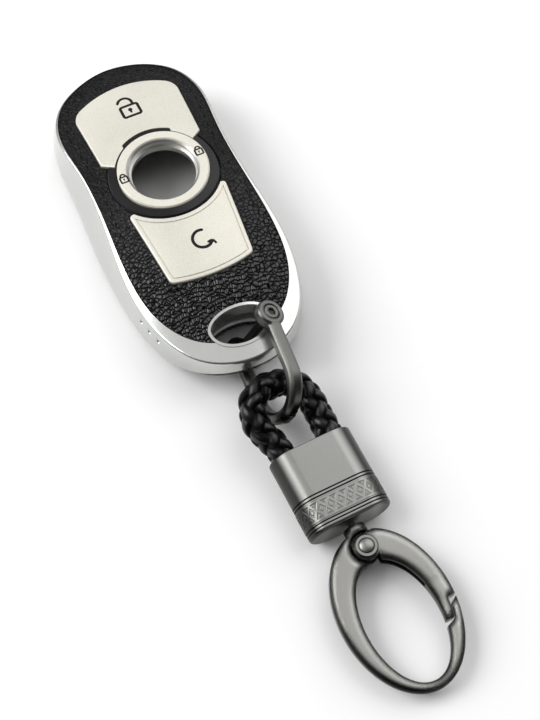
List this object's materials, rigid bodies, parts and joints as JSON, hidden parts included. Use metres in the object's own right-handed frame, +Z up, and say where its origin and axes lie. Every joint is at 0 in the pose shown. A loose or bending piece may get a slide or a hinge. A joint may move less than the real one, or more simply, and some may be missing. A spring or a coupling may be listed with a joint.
{
  "type": "key fob cover",
  "caption": "Leather-faced metal cover for a car key fob, with press pads, a round lock ring and a braided cord key chain that ends in a swivel spring hook.",
  "frame": {"origin": "on the back rest face, under the axis of the round lock ring", "axes": "+X across the cover, +Y towards its top end, +Z up out of the front; the chain lies along -Y"},
  "size_m": [0.043, 0.1726, 0.0195],
  "materials": {
    "shell_silver": "satin",
    "leather_black": "pebbled",
    "plastic_black": "smooth",
    "pad_silver": "satin",
    "gunmetal": "satin",
    "sleeve_metal": "satin",
    "cord_leather": "braided",
    "spring_steel": "bright"
  },
  "bodies": {
    "case": {"front_shell": "shell_silver", "front_leather": "leather_black", "ring_bezel": "plastic_black", "button_retainer": "plastic_black", "back_cover": "shell_silver", "back_leather": "leather_black"},
    "unlock": {"unlock_button": "pad_silver"},
    "ring": {"lock_ring": "pad_silver"},
    "start": {"start_button": "pad_silver"},
    "shackle": {"shackle_bow": "gunmetal", "shackle_screw": "gunmetal"},
    "loop": {"braided_cord": "cord_leather", "cord_sleeve": "sleeve_metal"},
    "hook": {"swivel_stud": "gunmetal", "hook_body": "gunmetal", "gate_rivet": "gunmetal", "gate_spring": "spring_steel"},
    "gate": {"hook_gate": "gunmetal"}
  },
  "joints": [
    {"name": "unlock_press", "type": "slide", "parent": "case", "child": "unlock", "axis": [0, 0, -1], "range_m": [0, 0.0006], "stiffness_N_per_m": 500},
    {"name": "ring_press", "type": "slide", "parent": "case", "child": "ring", "axis": [0, 0, -1], "range_m": [0, 0.0006], "stiffness_N_per_m": 500},
    {"name": "start_press", "type": "slide", "parent": "case", "child": "start", "axis": [0, 0, -1], "range_m": [0, 0.0006], "stiffness_N_per_m": 500},
    {"name": "shackle_swing", "type": "hinge", "parent": "case", "child": "shackle", "pos_m": [0.0025, -0.04559, 0.00998], "axis": [0.4703, -0.06, 0.8805], "range_deg": [-10, 10]},
    {"name": "loop_swing", "type": "hinge", "parent": "shackle", "child": "loop", "pos_m": [0.0009, -0.06697, 0.00937], "axis": [0.4703, -0.06, 0.8805], "range_deg": [-8, 8]},
    {"name": "hook_spin", "type": "hinge", "parent": "loop", "child": "hook", "pos_m": [0.00329, -0.09586, 0.00498], "axis": [0.0383, -0.9979, -0.0515], "continuous": true},
    {"name": "gate_open", "type": "hinge", "parent": "hook", "child": "gate", "pos_m": [0.00351, -0.10145, 0.0047], "axis": [-0.002, 0.0514, -0.9987], "range_deg": [0, 22], "stiffness_Nm_per_rad": 0.02, "springref_deg": -17.19, "deforming": ["gate_spring"]}
  ]
}
